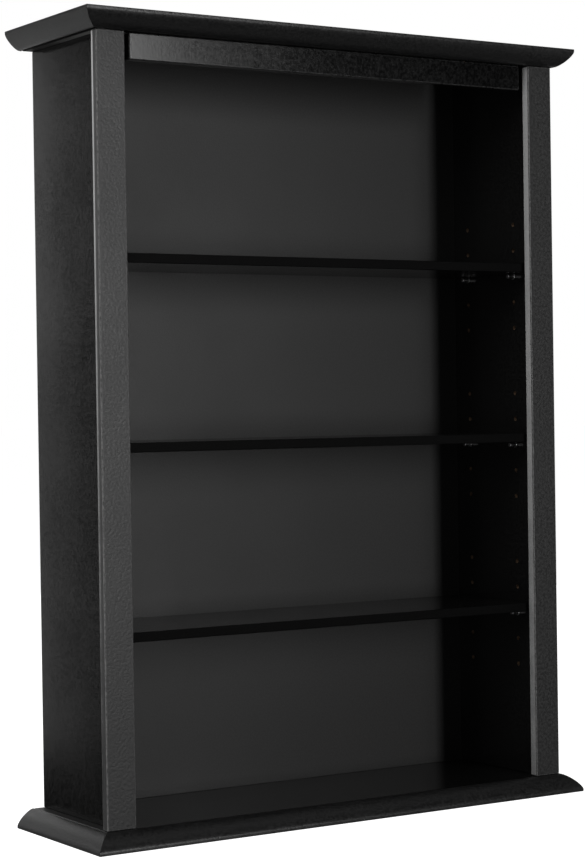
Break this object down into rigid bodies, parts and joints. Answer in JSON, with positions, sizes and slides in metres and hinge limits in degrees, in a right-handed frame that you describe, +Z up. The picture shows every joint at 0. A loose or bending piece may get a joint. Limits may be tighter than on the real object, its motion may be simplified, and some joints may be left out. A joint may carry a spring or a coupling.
{
  "type": "wall media rack",
  "caption": "Black open-fronted wall rack for upright media cases, with moulded crown and base, upright stiles, a header rail and loose adjustable shelves on pins.",
  "frame": {"origin": "middle of the footprint's bounding box, on the underside of the base", "axes": "+X to the right seen from the front, +Y towards the wall behind it, +Z up; the open front faces -Y"},
  "size_m": [0.672, 0.2036, 0.914],
  "materials": {
    "black_laminate": "semi-matt black laminate with a fine grain",
    "black_moulding": "semi-matt black laminate",
    "hardboard": "hardboard, matt black in front and bare brown behind",
    "pin_steel": "nickel-plated steel",
    "screw_steel": "zinc-plated steel",
    "dowel_beech": "bare beech"
  },
  "bodies": {
    "cabinet": {"top_board": "black_laminate", "base_board": "black_laminate", "crown_moulding_front": "black_moulding", "crown_moulding_left": "black_moulding", "crown_moulding_right": "black_moulding", "base_moulding_front": "black_moulding", "base_moulding_left": "black_moulding", "base_moulding_right": "black_moulding", "left_side_panel": "black_laminate", "right_side_panel": "black_laminate", "left_stile": "black_laminate", "right_stile": "black_laminate", "header_rail": "black_laminate", "back_panel": "hardboard", "hanging_rail": "black_laminate", "lower_back_rail": "black_laminate", "pin_upper_left_front": "pin_steel", "pin_upper_left_rear": "pin_steel", "pin_upper_right_front": "pin_steel", "pin_upper_right_rear": "pin_steel", "pin_middle_left_front": "pin_steel", "pin_middle_left_rear": "pin_steel", "pin_middle_right_front": "pin_steel", "pin_middle_right_rear": "pin_steel", "pin_lower_left_front": "pin_steel", "pin_lower_left_rear": "pin_steel", "pin_lower_right_front": "pin_steel", "pin_lower_right_rear": "pin_steel", "connector_top_left_front": "screw_steel", "connector_top_left_rear": "screw_steel", "connector_top_right_front": "screw_steel", "connector_top_right_rear": "screw_steel", "connector_base_left_front": "screw_steel", "connector_base_left_rear": "screw_steel", "connector_base_right_front": "screw_steel", "connector_base_right_rear": "screw_steel", "stile_dowel_left_1": "dowel_beech", "stile_dowel_left_2": "dowel_beech", "stile_dowel_left_3": "dowel_beech", "stile_dowel_right_1": "dowel_beech", "stile_dowel_right_2": "dowel_beech", "stile_dowel_right_3": "dowel_beech", "header_dowel_left": "dowel_beech", "header_dowel_right": "dowel_beech", "hanging_rail_dowel_left_low": "dowel_beech", "hanging_rail_dowel_left_high": "dowel_beech", "hanging_rail_dowel_right_low": "dowel_beech", "hanging_rail_dowel_right_high": "dowel_beech", "lower_rail_dowel_left": "dowel_beech", "lower_rail_dowel_right": "dowel_beech"},
    "upper_shelf": {"shelf_upper": "black_laminate"},
    "middle_shelf": {"shelf_middle": "black_laminate"},
    "lower_shelf": {"shelf_lower": "black_laminate"}
  },
  "joints": [
    {"name": "upper_shelf_lift", "type": "slide", "parent": "cabinet", "child": "upper_shelf", "axis": [0, 0, 1], "range_m": [0, 0.21]},
    {"name": "middle_shelf_lift", "type": "slide", "parent": "cabinet", "child": "middle_shelf", "axis": [0, 0, 1], "range_m": [0, 0.19]},
    {"name": "lower_shelf_lift", "type": "slide", "parent": "cabinet", "child": "lower_shelf", "axis": [0, 0, 1], "range_m": [0, 0.19]}
  ]
}
